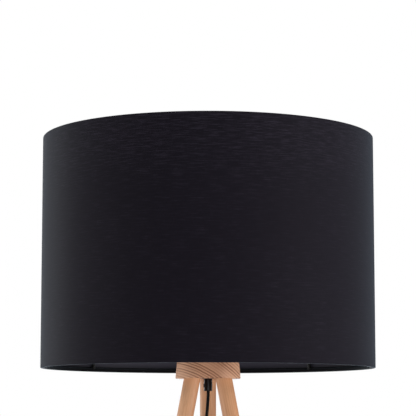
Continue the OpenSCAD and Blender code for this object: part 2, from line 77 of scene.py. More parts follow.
# --- geometry ---
def put_mesh(name, points, faces, material):
    mesh = bpy.data.meshes.new(name)
    mesh.from_pydata([tuple(p) for p in points], [], faces)
    mesh.materials.append(material)
    made = bpy.data.objects.new(name, mesh)
    bpy.context.scene.collection.objects.link(made)
    return made


def add_piece(name, points, faces, body, material, slot, replaces=(), sharp=35):
    """A smooth-shaded mesh piece that rides on a body and may stand for CAD nodes."""
    piece = put_mesh(name, points, faces, material)
    mesh = piece.data
    work = bmesh.new()
    work.from_mesh(mesh)
    bmesh.ops.remove_doubles(work, verts=work.verts, dist=SAME_POINT)
    bmesh.ops.recalc_face_normals(work, faces=work.faces)
    work.to_mesh(mesh)
    work.free()
    mesh.shade_smooth()
    mesh.set_sharp_from_angle(angle=math.radians(sharp))
    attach(piece, body)
    if replaces:
        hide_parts(*replaces)
    return piece


def spread(first, last, steps):
    """Even steps from first to last, with both ends."""
    return [first + (last - first) * k / steps for k in range(steps + 1)]


def whole_turn(count):
    return [TURN * k / count for k in range(count)]


def curve(first, corner, last, steps):
    """Points from first to last on a curve that the corner draws out."""
    return [first * (1 - t) ** 2 + corner * 2 * t * (1 - t) + last * t ** 2
            for t in spread(0, 1, steps)]


def rounded(outline, steps=5, closed=False):
    """An outline whose corners are rounded. A point is (a, b) or (a, b, radius)."""
    made, count = [], len(outline)
    for i, point in enumerate(outline):
        here = Vector(point[:2])
        radius = point[2] if len(point) > 2 else 0
        if radius == 0 or (not closed and i in (0, count - 1)):
            made.append(here)
            continue
        back = Vector(outline[i - 1][:2]) - here
        ahead = Vector(outline[(i + 1) % count][:2]) - here
        cut = radius / math.tan(back.angle(ahead) / 2)
        made += curve(here + back.normalized() * cut, here, here + ahead.normalized() * cut, steps)
    return made


def loft(rings, closed=False):
    """Points and faces of a skin over rings of equally many points.

    A closed skin runs from its last ring back to its first. An open one is capped at both ends."""
    count = len(rings[0])
    points = [p for ring in rings for p in ring]
    faces = []
    for i in range(len(rings) if closed else len(rings) - 1):
        low, high = i * count, (i + 1) % len(rings) * count
        for k in range(count):
            after = (k + 1) % count
            faces.append((low + k, low + after, high + after, high + k))
    if not closed:
        faces.append(tuple(range(count)))
        faces.append(tuple(range((len(rings) - 1) * count, len(rings) * count)))
    return points, faces


def polar(radius, angle):
    return radius * math.cos(angle), radius * math.sin(angle)


def lathe(outline, place=Matrix(), segments=128, closed=False, swell=None, angles=None):
    """A skin turned about place's Z axis. swell(angle, radius, height) moves a point outward."""
    rings = []
    angles = angles or whole_turn(segments)
    for radius, height in outline:
        ring = []
        for angle in angles:
            out = radius + (swell(angle, radius, height) if swell and radius > 0 else 0)
            ring.append(place @ Vector((*polar(out, angle), height)))
        rings.append(ring)
    return loft(rings, closed=closed)


def circle_of(radius, count):
    return [polar(radius, angle) for angle in whole_turn(count)]


def joined(*parts):
    """Several (points, faces) pairs as one."""
    points, faces = [], []
    for more_points, more_faces in parts:
        start = len(points)
        points += more_points
        faces += [tuple(i + start for i in face) for face in more_faces]
    return points, faces


def smooth_route(route, steps):
    """The smooth curve through a route's points, as the CAD source draws it."""
    made, last = [], len(route) - 1
    points = [Vector(p) for p in route]
    for i in range(last):
        a, b = points[max(i - 1, 0)], points[i]
        c, d = points[i + 1], points[min(i + 2, last)]
        for k in range(steps):
            t = k / steps
            made.append(
                0.5 * (2 * b + (c - a) * t + (2 * a - 5 * b + 4 * c - d) * t ** 2
                       + (3 * b - a - 3 * c + d) * t ** 3)
            )
    return made + [points[last]]


NEARLY_UPRIGHT = 0.05


def swept(route, outline):
    """A tube along a route of (x, y, z, roll). At roll 0 the outline's second axis lies level."""
    rings = []
    for i, point in enumerate(route):
        before, after = route[max(i - 1, 0)], route[min(i + 1, len(route) - 1)]
        heading = (Vector(after[:3]) - Vector(before[:3])).normalized()
        level = Vector((-heading.y, heading.x, 0))
        across = level.normalized() if level.length > NEARLY_UPRIGHT else Vector((0, -1, 0))
        upright = heading.cross(across)
        roll = math.radians(point[3])
        wide = across * math.cos(roll) + upright * math.sin(roll)
        thin = wide.cross(heading)
        rings.append([Vector(point[:3]) + thin * a + wide * b for a, b in outline])
    return loft(rings)


def along_x(x, y, z):
    """A place whose own Z axis points along +X."""
    return Matrix.Translation((x, y, z)) @ Matrix.Rotation(TURN / 4, 4, "Y")


# --- materials ---
class Finish:
    """A material, with short calls that add the nodes of its pattern."""

    def __init__(self, name, fixed):
        self.material = bpy.data.materials.new(name)
        self.material.use_nodes = True
        self.tree = self.material.node_tree
        self.shader = self.tree.nodes["Principled BSDF"]
        for socket, value in fixed.items():
            self.shader.inputs[socket].default_value = value

    def put(self, socket, value):
        if isinstance(value, bpy.types.NodeSocket):
            self.tree.links.new(value, socket)
        else:
            socket.default_value = value

    def node(self, kind, inputs, **settings):
        made = self.tree.nodes.new("ShaderNode" + kind)
        for name, value in settings.items():
            setattr(made, name, value)
        for name, value in inputs.items():
            self.put(made.inputs[name], value)
        return made

    def place(self):
        """The point in the row frame: every piece's object sits at the origin."""
        return self.node("TexCoord", {}).outputs["Object"]

    def turned(self, vector, location, rotation):
        """The point as seen from a frame that stands at location with that rotation."""
        inputs = {"Vector": vector, "Location": location, "Rotation": rotation}
        return self.node("Mapping", inputs, vector_type="TEXTURE").outputs["Vector"]

    def scaled(self, vector, scale):
        inputs = {"Vector": vector, "Scale": scale}
        return self.node("Mapping", inputs).outputs["Vector"]

    def split(self, vector):
        return self.node("SeparateXYZ", {"Vector": vector}).outputs

    def vector(self, x, y, z):
        return self.node("CombineXYZ", {"X": x, "Y": y, "Z": z}).outputs["Vector"]

    def maths(self, operation, a, b=0.0):
        return self.node("Math", {0: a, 1: b}, operation=operation).outputs[0]

    def add(self, a, b):
        return self.maths("ADD", a, b)

    def subtract(self, a, b):
        return self.maths("SUBTRACT", a, b)

    def times(self, a, b):
        return self.maths("MULTIPLY", a, b)

    def length(self, vector):
        return self.node("VectorMath", {0: vector}, operation="LENGTH").outputs["Value"]

    def noise(self, vector, scale, detail=2.0, roughness=0.5):
        inputs = {"Vector": vector, "Scale": scale, "Detail": detail, "Roughness": roughness}
        return self.node("TexNoise", inputs).outputs[0]

    def streaks(self, vector, scales, detail, roughness=0.5):
        """Noise with its own scale along each axis."""
        return self.noise(self.scaled(vector, scales), 1, detail, roughness)

    def fit(self, value, low, high, to_low=0.0, to_high=1.0):
        """value from low..high to to_low..to_high, held at the ends."""
        inputs = {
            "Value": value, "From Min": low, "From Max": high,
            "To Min": to_low, "To Max": to_high,
        }
        return self.node("MapRange", inputs).outputs["Result"]

    def swing(self, value, to_low, to_high):
        """Most of a noise's range, as to_low..to_high."""
        return self.fit(value, 0.3, 0.7, to_low, to_high)

    def ramp(self, value, stops):
        made = self.node("ValToRGB", {"Fac": value})
        elements = made.color_ramp.elements
        while len(elements) < len(stops):
            elements.new(0.5)
        for element, (at, color) in zip(elements, stops):
            element.position = at
            element.color = (*color, 1)
        return made.outputs["Color"]

    def profile(self, value, stops):
        """A number that runs from level to level. A stop is (at, level)."""
        return self.split(self.ramp(value, [(at, grey(level)) for at, level in stops]))["X"]

    def mix(self, share, first, second, blend="MIX"):
        inputs = {0: share, 6: first, 7: second}
        return self.node("Mix", inputs, data_type="RGBA", blend_type=blend).outputs[2]

    def color(self, value):
        self.put(self.shader.inputs["Base Color"], value)

    def roughness(self, value, low, high):
        self.put(self.shader.inputs["Roughness"], self.swing(value, low, high))

    def bump(self, height, distance, strength=1.0):
        inputs = {"Height": height, "Distance": distance, "Strength": strength}
        made = self.node("Bump", inputs)
        self.tree.links.new(made.outputs["Normal"], self.shader.inputs["Normal"])

    def round_the_drum(self, radius):
        """A vector of the way round the lamp's axis, in metres, and the height."""
        x, y, z = self.split(self.place())
        angle = self.maths("ARCTAN2", x, self.times(y, -1.0))
        return self.vector(self.times(angle, radius), z, 0.0)


def rgb(red, green, blue):
    return (red, green, blue, 1)


def grey(level):
    return (level,) * 3


WEAVE_RADIUS = 0.23
# The slubs are painted stronger over this stretch below the shade's top: painted light, grazing
# from above.
SLUBS_START, SLUBS_FULL = 0.10, 0.03
SLUBS_FAINT, SLUBS_STRONG = 0.62, 1.30
# The radii between which the cloth turned in over the wires takes its painted shade: the turned-in
# cloth, and its outside.
TURNED_IN, OUTSIDE = 0.2275, 0.2290


def cloth_finish():
    """Black cloth with level slub yarns. Their contrast is painted strongest near its top edge, as
    light grazing from above.

    The cloth that is turned in over the wires is painted darker, as shade."""
    made = Finish("black_cloth", {
        "Sheen Weight": 0.085, "Sheen Roughness": 0.40, "Sheen Tint": rgb(0.64, 0.82, 1.0),
        "Specular IOR Level": 0.06, "Roughness": 0.70,
    })
    around = made.round_the_drum(WEAVE_RADIUS)
    slubs = made.streaks(around, (42, 720, 1), 4, 0.7)
    fine = made.streaks(around, (130, 950, 1), 2, 0.6)
    upright = made.streaks(around, (720, 110, 1), 2, 0.5)
    cloudy = made.streaks(around, (9, 9, 1), 2)
    threads = made.add(made.times(fine, 0.45), made.times(upright, 0.35))
    yarn = made.add(made.fit(slubs, 0.44, 0.72), threads)
    height = made.split(around)["Y"]
    # Painted light: the slubs' contrast grows towards the top, where light grazes from above.
    strength = made.fit(
        height, SHADE_HIGH - SLUBS_START, SHADE_HIGH - SLUBS_FULL, SLUBS_FAINT, SLUBS_STRONG)
    yarn = made.add(made.times(made.subtract(yarn, 0.5), strength), 0.5)
    tone = made.ramp(made.times(yarn, made.fit(cloudy, 0.2, 0.8, 0.80, 1.0)), [
        (0.15, (0.0030, 0.0020, 0.0044)), (0.6, (0.0044, 0.0032, 0.0062)),
        (1.0, (0.0115, 0.0092, 0.0150)),
    ])
    # Painted shade: the turned-in cloth is darker, as little light reaches it.
    x, y, _ = made.split(made.place())
    radius = made.length(made.vector(x, y, 0.0))
    hem_painted_shade = made.fit(radius, TURNED_IN, OUTSIDE, 1.0, 0.0)
    made.color(made.mix(hem_painted_shade, tone, rgb(0.0012, 0.0010, 0.0015)))
    made.bump(made.add(yarn, made.times(upright, 0.25)), 0.00018, 0.18)
    return made.material


FILM_RADIUS = 0.228
# The film's foot with painted shade, as heights over the shade's lower edge.
FILM_DARK, FILM_LIT = 4 * MM, 13 * MM


def lining_finish():
    """Smooth black film, slightly uneven where it is glued to the cloth, and painted darker at its
    foot as shade.
    """
    made = Finish("black_lining", {"Specular IOR Level": 0.10})
    around = made.round_the_drum(FILM_RADIUS)
    broad = made.streaks(around, (14, 22, 1), 3)
    grain = made.streaks(around, (900, 900, 1), 2)
    film = made.ramp(broad, [(0.3, (0.0318, 0.0298, 0.0410)), (0.7, (0.0370, 0.0350, 0.0480))])
    height = made.split(around)["Y"]
    # Painted shade at the film's foot.
    out_of_painted_shade = made.fit(height, SHADE_LOW + FILM_DARK, SHADE_LOW + FILM_LIT, 0.0, 1.0)
    made.color(made.mix(out_of_painted_shade, rgb(0.0045, 0.0045, 0.0065), film))
    made.roughness(grain, 0.52, 0.64)
    made.bump(made.add(broad, made.times(grain, 0.05)), 0.0006, 0.5)
    return made.material


def wood_pores(made, along):
    """Short dark pores that run with the grain. along is a vector whose Z is the grain."""
    pores = made.streaks(along, (1500, 1500, 60), 2, 0.5)
    return made.fit(pores, 0.60, 0.72)


FOOT_RADIUS = 0.277
LEG_TOP_RADIUS = 0.025
LEG_ANGLES = {
    "leg_back": math.radians(90), "leg_front_left": math.radians(210),
    "leg_front_right": math.radians(330),
}
RINGS_PER_METRE = {"leg": 330, "hub": 290}
LEG_TONES = [
    (0.10, (0.690, 0.400, 0.236)), (0.45, (0.610, 0.330, 0.180)), (0.85, (0.440, 0.210, 0.100)),
]


def leg_wood_finish(name, foot_angle, lean, top_z, seed, share):
    """Straight-grained light wood, at a share of its full lightness that paints the light and shade
    the leg gets.

    The rings' centre lies beside the leg, so they show as stripes."""
    made = Finish(name, {"Coat Weight": 0.03, "Coat Roughness": 0.35, "Specular IOR Level": 0.18})
    top = (*polar(LEG_TOP_RADIUS, foot_angle), top_z)
    local = made.turned(made.place(), top, (0, -lean, foot_angle))
    x, y, z = made.split(local)
    drift = made.noise(made.vector(seed, seed, made.times(z, 1.7)), 1, 2)
    shift = made.times(drift, 0.012)
    radius = made.length(made.vector(
        made.add(made.add(x, 0.021 * math.cos(seed)), shift),
        made.add(y, 0.034 + 0.004 * math.sin(seed)), 0.0))
    wavy = made.streaks(local, (60, 60, 5), 3)
    rings = made.add(made.times(radius, RINGS_PER_METRE["leg"]), made.times(wavy, 0.9))
    late = made.maths("POWER", made.maths("FRACT", rings), 3.0)
    fibres = made.streaks(local, (1300, 1300, 22), 3, 0.6)
    broad = made.streaks(local, (35, 35, 2.2), 2)
    tone = made.add(made.times(late, 0.24), made.times(fibres, 0.32))
    tone = made.add(tone, made.swing(broad, -0.14, 0.20))
    # Painted shade: darker away from the hub and on the leg's right side, where the lamps light it
    # more.
    tone = made.add(tone, made.fit(z, -0.050, 0.0, 0.42, -0.14))
    to_right = made.times(x, math.cos(foot_angle))
    right = made.subtract(to_right, made.times(y, math.sin(foot_angle)))
    tone = made.add(tone, made.fit(right, -0.001, 0.010, -0.10, 0.38))
    color = made.ramp(tone, [(at, tuple(share * c for c in full)) for at, full in LEG_TONES])
    near_hub = made.fit(z, -0.060, -0.008)
    warm = made.ramp(near_hub, [(0.0, (1.0, 1.03, 1.08)), (1.0, (1.0, 0.93, 0.86))])
    color = made.mix(1.0, color, warm, "MULTIPLY")
    made.color(made.mix(wood_pores(made, local), color, rgb(0.36, 0.19, 0.10)))
    made.roughness(fibres, 0.38, 0.50)
    made.bump(made.subtract(fibres, made.times(late, 0.25)), 0.00022, 0.5)
    return made.material


HUB_TALL = 0.040
# The centre of the board's rings, from the middle of the hub's top.
PITH_LEFT, PITH_DOWN = 0.072, 0.157
HUB_TONES = [
    (0.10, (0.640, 0.365, 0.232)), (0.42, (0.520, 0.275, 0.166)), (0.95, (0.220, 0.092, 0.048)),
]


def hub_wood_finish(top_z):
    """The hub is turned from a board whose rings run front to back and centre low on its left.

    It is painted palest at its left side and darkest a little right of the middle, as light from
    the sides and shade in the middle."""
    made = Finish(
        "hub_wood", {"Coat Weight": 0.03, "Coat Roughness": 0.35, "Specular IOR Level": 0.22})
    place = made.place()
    x, y, z = made.split(place)
    wavy = made.streaks(place, (26, 9, 26), 3, 0.55)
    radius = made.length(made.vector(
        made.add(x, PITH_LEFT), made.times(y, 0.05), made.subtract(z, top_z - PITH_DOWN)))
    bent = made.add(radius, made.fit(wavy, 0.25, 0.75, -0.0008, 0.0008))
    rings = made.maths("FRACT", made.times(bent, RINGS_PER_METRE["hub"]))
    late = made.maths("POWER", rings, 2.4)
    bands = made.profile(made.fit(bent, 0.120, 0.180), [
        (0.00, 0.95), (0.30, 0.95), (0.34, 1.45), (0.44, 1.45),
        (0.50, 0.25), (0.64, 0.25), (0.69, 1.15), (0.95, 1.0),
    ])
    years = made.noise(made.vector(made.times(bent, 170), 0.0, 0.0), 1, 1)
    strong = made.times(made.times(late, bands), made.swing(years, 0.35, 1.5))
    fibres = made.streaks(place, (1100, 60, 1100), 3, 0.6)
    broad = made.streaks(place, (30, 12, 30), 2)
    tone = made.add(made.times(strong, 0.95), made.times(fibres, 0.30))
    tone = made.add(tone, made.swing(broad, -0.06, 0.10))
    # Painted light and shade: lighter at both sides, most at the left, and darker a little right of
    # the middle.
    painted_side_light = made.profile(made.fit(x, -0.045, 0.045), [
        (0.0, 0.0), (0.10, 0.0), (0.25, 0.22), (0.58, 0.50),
        (0.65, 0.57), (0.72, 0.58), (0.84, 0.37), (1.0, 0.15),
    ])
    tone = made.add(tone, made.subtract(painted_side_light, 0.22))
    made.color(made.ramp(tone, HUB_TONES))
    made.roughness(fibres, 0.42, 0.55)
    made.bump(made.subtract(fibres, made.times(strong, 0.35)), 0.00022, 0.5)
    return made.material


def plastic_finish(name, shade, low, high, grain=900, depth=0.00012, gloss=0.08):
    """Moulded plastic or soft sheath with a fine grain."""
    made = Finish(name, {"Specular IOR Level": gloss})
    place = made.place()
    fine = made.noise(place, grain, 2)
    worn = made.noise(place, 70, 4, 0.6)
    light = tuple(1.25 * c for c in shade)
    made.color(made.ramp(worn, [(0.35, shade), (0.75, light)]))
    made.roughness(worn, low, high)
    made.bump(fine, depth, 0.5)
    return made.material


def metal_finish(name, shade, low, high, brushed=(900, 900, 900)):
    """Plated metal with fine marks along one direction and faint spots."""
    made = Finish(name, {"Metallic": 1.0})
    place = made.place()
    marks = made.streaks(place, brushed, 3, 0.6)
    spots = made.noise(place, 260, 3, 0.6)
    dark = tuple(0.72 * c for c in shade)
    made.color(made.ramp(spots, [(0.30, dark), (0.55, shade)]))
    made.roughness(marks, low, high)
    made.bump(marks, 0.00006, 0.4)
    return made.material


def paint_finish():
    """Black powder coat with a faint orange peel."""
    made = Finish(
        "black_paint", {"Specular IOR Level": 0.12, "Coat Weight": 0.02, "Coat Roughness": 0.3})
    place = made.place()
    peel = made.noise(place, 1300, 2)
    made.color(made.ramp(made.noise(place, 120, 3), [(0.3, grey(0.0045)), (0.7, grey(0.0075))]))
    made.roughness(peel, 0.30, 0.42)
    made.bump(peel, 0.00010, 0.5)
    return made.material


RIB_WIDTH = 1.1 * MM


def strap_finish():
    """Woven nylon: ribs across the strap."""
    made = Finish("strap_weave", {"Sheen Weight": 0.25, "Sheen Roughness": 0.5})
    place = made.place()
    _, y, z = made.split(place)
    along = made.add(y, z)
    ribs = made.maths("SINE", made.times(along, TURN / RIB_WIDTH))
    fuzz = made.noise(place, 2200, 2)
    tone = made.add(made.times(ribs, 0.25), fuzz)
    made.color(made.ramp(tone, [(0.3, grey(0.012)), (0.8, (0.034, 0.034, 0.036))]))
    made.roughness(fuzz, 0.70, 0.85)
    made.bump(tone, 0.00025, 0.7)
    return made.material


def porcelain_finish():
    """Glazed cream ceramic with faint clouds."""
    made = Finish("porcelain", {"Coat Weight": 0.6, "Coat Roughness": 0.08, "Roughness": 0.35})
    clouds = made.noise(made.place(), 90, 4, 0.6)
    made.color(made.ramp(clouds, [(0.35, (0.74, 0.72, 0.66)), (0.7, (0.82, 0.80, 0.75))]))
    made.bump(clouds, 0.0003, 0.3)
    return made.material


def opal_finish():
    """Opal glass, milky through, with a smooth skin."""
    made = Finish("opal_glass", {
        "Coat Weight": 0.7, "Coat Roughness": 0.05, "Subsurface Weight": 0.35,
        "Subsurface Scale": 0.004, "Roughness": 0.30,
    })
    milk = made.noise(made.place(), 45, 3)
    made.color(made.ramp(milk, [(0.3, (0.84, 0.84, 0.80)), (0.7, (0.90, 0.90, 0.87))]))
    return made.material


def black_glass_finish():
    """The glass bead round the bulb's centre contact."""
    made = Finish("black_glass", {"Coat Weight": 0.5, "Coat Roughness": 0.08})
    swirl = made.noise(made.place(), 400, 3)
    made.color(made.ramp(swirl, [(0.3, (0.010, 0.010, 0.013)), (0.7, (0.020, 0.018, 0.026))]))
    made.roughness(swirl, 0.10, 0.20)
    return made.material


def floor_finish():
    """A plain pale floor, faintly uneven."""
    made = Finish("pale_floor", {"Specular IOR Level": 0.2})
    soft = made.noise(made.place(), 3, 3)
    made.color(made.ramp(soft, [(0.3, grey(0.80)), (0.7, grey(0.84))]))
    made.roughness(soft, 0.75, 0.85)
    return made.material


# --- the cords ---
# The routes and the coil are in millimetres, as in the CAD source.
# A point is x, y, z and the flat cord's roll in degrees.
CORD_WIDE = 5.4 * MM
CORD_THICK = 3.2 * MM
DROP_ROUTE = [
    (0.2, 0, 1159, 30), (0.2, 0, 1152, 30), (-0.5, 0, 1140, 30), (-2.4, 0, 1122, 30),
    (-8, 0, 1090, 20), (-15.5, 0, 1050, 8), (-22.5, 0, 1000, 0),
    (-29, 0, 930, 0), (-33, 0, 850, 0), (-36, 0, 750, 0),
    (-38, 0, 640, 0), (-39, 0, 520, 0), (-40, 0, 400, 0), (-41, 0, 290, 0), (-43, 0, 200, 0),
    (-48, 0, 130, 0), (-59, 0, 70, 0), (-78, 0, 31, 0), (-102, 0, 10, 0), (-128, 1, 2.8, 0),
    (-152, 7, 1.7, 0), (-173, 22, 1.7, 0), (-183, 46, 1.7, 0), (-178, 72, 1.7, 0),
    (-160, 91, 1.8, 0), (-138, 99, 3, 0), (-118, 100, 6.5, 0), (-104, 100, 8, 0),
]
TAIL_ROUTE = [
    (-28, 100, 8, 0), (-14, 100, 7, 5), (0, 100, 4.5, 35), (15, 100, 3.4, 75), (32, 100, 3.3, 90),
]
LEAD_ROUTE = [
    (58, 100, 8.6, 90), (70, 100, 7, 75), (84, 100, 5.2, 35), (98, 100, 5.6, 5),
    (112, 100, 6.9, 0),
]
COIL_MIDDLE = (45, 67)
COIL_TURNS = 6
COIL_PITCH = 3.3
COIL_OUT = 33.0
COIL_LAYERS = (3.3, 8.9)
ROUTE_STEPS = 8


def coil_route(per_turn=36):
    """Six turns in two layers: inward along the floor, then outward on top of those."""
    made, half = [], COIL_TURNS / 2
    for i in range(COIL_TURNS * per_turn + 1):
        turns = i / per_turn
        angle = TURN * (0.25 - turns)
        radius = COIL_OUT - COIL_PITCH * (half - abs(turns - half))
        climb = min(1, max(0, (turns - half + 0.25) / 0.5))
        climb = climb * climb * (3 - 2 * climb)
        low, high = COIL_LAYERS
        x, y = polar(radius, angle)
        made.append((COIL_MIDDLE[0] + x, COIL_MIDDLE[1] + y, low + (high - low) * climb, 90))
    return made


def in_metres(route):
    return [(p[0] * MM, p[1] * MM, p[2] * MM, p[3]) for p in route]


def cord_outline():
    """A flat twin cord: two round cores in one sheath, with a shallow groove between them."""
    radius, core, groove = CORD_THICK / 2, (CORD_WIDE - CORD_THICK) / 2, 1.22 * MM
    lobe = [polar(radius, math.radians(angle)) for angle in spread(-25, 205, 9)]
    lobe = [(a, core + b) for a, b in lobe]
    other = [(-a, -b) for a, b in lobe]
    return [(groove, 0), *lobe, (-groove, 0), *other]


def make_cords(sheath):
    """The two cords, each with the points that its middle follows."""
    drop = in_metres(smooth_route(DROP_ROUTE, ROUTE_STEPS))
    tail = smooth_route(TAIL_ROUTE, ROUTE_STEPS)
    lead = smooth_route(LEAD_ROUTE, ROUTE_STEPS)
    onward = in_metres([*tail, *coil_route(), *lead])
    made = []
    for name, route, nodes in [
        ("cord_to_switch", drop, ["cord_drop"]),
        ("cord_to_plug", onward, ["cord_tail", "cord_coil", "cord_lead"]),
    ]:
        skin = swept(route, cord_outline())
        piece = add_piece(name, *skin, "stand", sheath, "cord_sheath", nodes, sharp=60)
        made.append((piece, route))
    return made


# --- the shade ---
SHADE_LOW, SHADE_HIGH = [corner.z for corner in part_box("shade_fabric")]
SHADE_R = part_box("shade_fabric")[1].x
RING_LOW = sum(corner.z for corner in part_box("bottom_ring")) / 2
RING_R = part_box("bottom_ring")[1].x - 2 * MM
CLOTH_T = 0.6 * MM
CLOTH_WAVES = 0.18 * MM
LAP_HALF = 3.4 * MM
LAP_RISE = 0.55 * MM
FILM_WAVES = 0.15 * MM


def ribbon(path, thick):
    """The closed outline of a sheet of that thickness whose middle follows the path."""
    left, right = [], []
    for i, point in enumerate(path):
        along = path[min(i + 1, len(path) - 1)] - path[max(i - 1, 0)]
        out = Vector((-along.y, along.x)).normalized() * thick / 2
        left.append(point + out)
        right.append(point - out)
    return left + right[::-1]


def hem_path(flap):
    """From the lining round the wire to the outside of the cloth, for the lower edge."""
    roll = 2.35 * MM
    inside = SHADE_R - 2.25 * MM
    path = [(inside, RING_LOW + flap), (inside, RING_LOW + 2.6 * MM, 0.5 * MM)]
    for angle in spread(55, 270, 10):
        x, z = polar(roll, math.radians(angle))
        path.append((RING_R + x, RING_LOW + z))
    corner = (SHADE_R - CLOTH_T / 2, RING_LOW - roll, 0.6 * MM)
    return path, corner


def make_shade_cloth(cloth):
    """One band of cloth, turned in over both wires and lapped at the back."""
    path, corner = hem_path(flap=4 * MM)
    middle = (SHADE_LOW + SHADE_HIGH) / 2
    rise = SHADE_HIGH - SHADE_LOW - 2 * (RING_LOW - SHADE_LOW)
    wall = [(SHADE_R - CLOTH_T / 2, RING_LOW + rise * k / 20) for k in range(1, 20)]
    top = [(p[0], 2 * middle - p[1], *p[2:]) for p in [corner, *path[::-1]]]
    line = rounded([*path, corner, *wall, *top])
    lap = LAP_HALF / SHADE_R
    edge = 0.25 * MM / SHADE_R
    back = TURN / 4
    angles = [a for a in whole_turn(300) if abs(a - back) > lap + 2 * edge]
    angles += [back + side * (lap + shift * edge) for side in (-1, 1) for shift in (-1, 1)]

    def swell(angle, radius, height):
        lapped = abs(angle - back) < lap and radius > SHADE_R - 2 * CLOTH_T
        where = Vector((*polar(1.6, angle), height * 5))
        return CLOTH_WAVES * noise.noise(where) + (LAP_RISE if lapped else 0)

    skin = lathe(ribbon(line, CLOTH_T), angles=sorted(angles), closed=True, swell=swell)
    nodes = ["shade_fabric", "top_hem", "bottom_hem"]
    piece = add_piece("shade_cloth", *skin, "shade", cloth, "shade_cloth", nodes, sharp=50)


def make_shade_lining(lining):
    """The film that backs the cloth. The turned-in edges lie on it at both ends."""
    outer, inner = SHADE_R - 1.05 * MM, SHADE_R - 1.85 * MM
    low, high = RING_LOW - 1.5 * MM, SHADE_HIGH - (RING_LOW - SHADE_LOW) + 1.5 * MM
    rows = spread(low, high, 24)
    outline = [(outer, z) for z in rows] + [(inner, z) for z in reversed(rows)]

    def swell(angle, radius, height):
        where = Vector((*polar(3, angle), height * 12))
        return FILM_WAVES * noise.noise(where)

    skin = lathe(outline, segments=240, closed=True, swell=swell)
    add_piece("shade_lining", *skin, "shade", lining, "shade_lining", ["shade_liner"])


def bead(middle, sizes, seed):
    """A small uneven lump of weld."""
    outline = [(math.sin(math.pi * k / 8), -math.cos(math.pi * k / 8)) for k in range(9)]
    place = Matrix.Translation(middle) @ Matrix.Diagonal((*sizes, 1))

    def swell(angle, radius, height):
        where = Vector((math.cos(angle) + seed, math.sin(angle), height))
        return 0.25 * radius * noise.noise(where * 1.7)

    return lathe(outline, place, segments=20, swell=swell)


FIRST_ARM_DEGREES = 48.3
ROD_R = 2.5 * MM


def make_spider(paint):
    """The fitter plate, and four rods that run out from it and down to the lower wire."""
    low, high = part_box("spider_fitter")
    edge = 0.6 * MM
    bore, rim = 20.5 * MM, high.x
    plate = rounded([
        (bore, low.z, edge), (rim, low.z, edge), (rim, high.z, edge), (bore, high.z, edge),
    ], steps=3, closed=True)
    fitter = [lathe(plate, segments=96, closed=True)]
    level = (low.z + high.z) / 2
    foot_r, foot_z = RING_R - 0.5 * MM, RING_LOW + 2.2 * MM
    outer = foot_r - (level - foot_z) * math.tan(math.radians(9))
    line = rounded([
        (29 * MM, level), (30 * MM, level), (outer, level, 14 * MM), (foot_r, foot_z),
    ], steps=14)
    circle = circle_of(ROD_R, 20)
    arms = []
    for arm in range(4):
        angle = math.radians(FIRST_ARM_DEGREES + 90 * arm)
        out = Vector((*polar(1, angle), 0))
        route = [(*(out * r + Vector((0, 0, z))), 0) for r, z in line]
        arms.append(swept(route, circle))
        for side in (-1, 1):
            middle = out * (rim - 0.4 * MM) + Vector((0, 0, level + side * 1.2 * MM))
            fitter.append(bead(middle, (3.1 * MM, 3.1 * MM, 1.7 * MM), arm + side))
        arms.append(bead(out * foot_r + Vector((0, 0, foot_z)), (3 * MM, 3 * MM, 2 * MM), arm))
    add_piece("spider_plate", *joined(*fitter), "shade", paint, "frame_wire", ["spider_fitter"])
    skin = joined(*arms)
    add_piece("spider_rods", *skin, "shade", paint, "frame_wire", ["spider_arms"], sharp=60)


# --- the stand ---
def make_cord_grip(plastic):
    """The grip under the hub: a rounded sleeve on the tube, with a slotted screw at its side."""
    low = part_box("cord_grip")[0].z
    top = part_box("hub_block")[0].z - 0.05 * MM
    body, bore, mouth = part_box("cord_grip")[1].x, 3.2 * MM, 5 * MM
    outline = rounded([
        (0, low + mouth), (bore, low + mouth), (bore, low, 0.25 * MM),
        (body - 0.4 * MM, low, 0.5 * MM), (body, low + 1.2 * MM, 0.9 * MM),
        (body, top, 0.3 * MM), (bore, top),
    ], steps=4)
    seam, half_seam, seam_rise = TURN / 2, 0.03, 0.10 * MM

    def parting(angle, radius, height):
        return seam_rise if min(abs(angle - seam), angle, TURN - angle) < half_seam else 0

    skin = lathe(outline, segments=120, swell=parting)
    add_piece("cord_grip_body", *skin, "stand", plastic, "black_plastic", ["cord_grip"], sharp=50)
    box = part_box("cord_grip_screw")
    middle = (box[0] + box[1]) / 2
    place = Matrix.Translation((0, 0, middle.z)) @ Matrix.Rotation(-TURN / 4, 4, "Y")
    radius, face, slot = box[1].y, -box[0].x, 0.8 * MM
    root, slot_floor = 3.4 * MM, face - 0.6 * MM
    stem = lathe(rounded([
        (0, root), (radius, root), (radius, slot_floor), (0, slot_floor),
    ]), place, segments=40)
    halves = []
    for side in (-1, 1):
        rings = []
        for inset, out in [(0, -0.6), (0, -0.25), (0.1, -0.06), (0.28, 0)]:
            reach = radius - inset * MM
            start = math.asin((slot / 2) / reach)
            ring = []
            for angle in spread(start, math.pi - start, 14):
                across, along = polar(reach, angle)
                ring.append(place @ Vector((across, side * along, face + out * MM)))
            rings.append(ring)
        halves.append(loft(rings))
    skin = joined(stem, *halves)
    add_piece("grip_screw", *skin, "stand", plastic, "black_plastic", ["cord_grip_screw"])


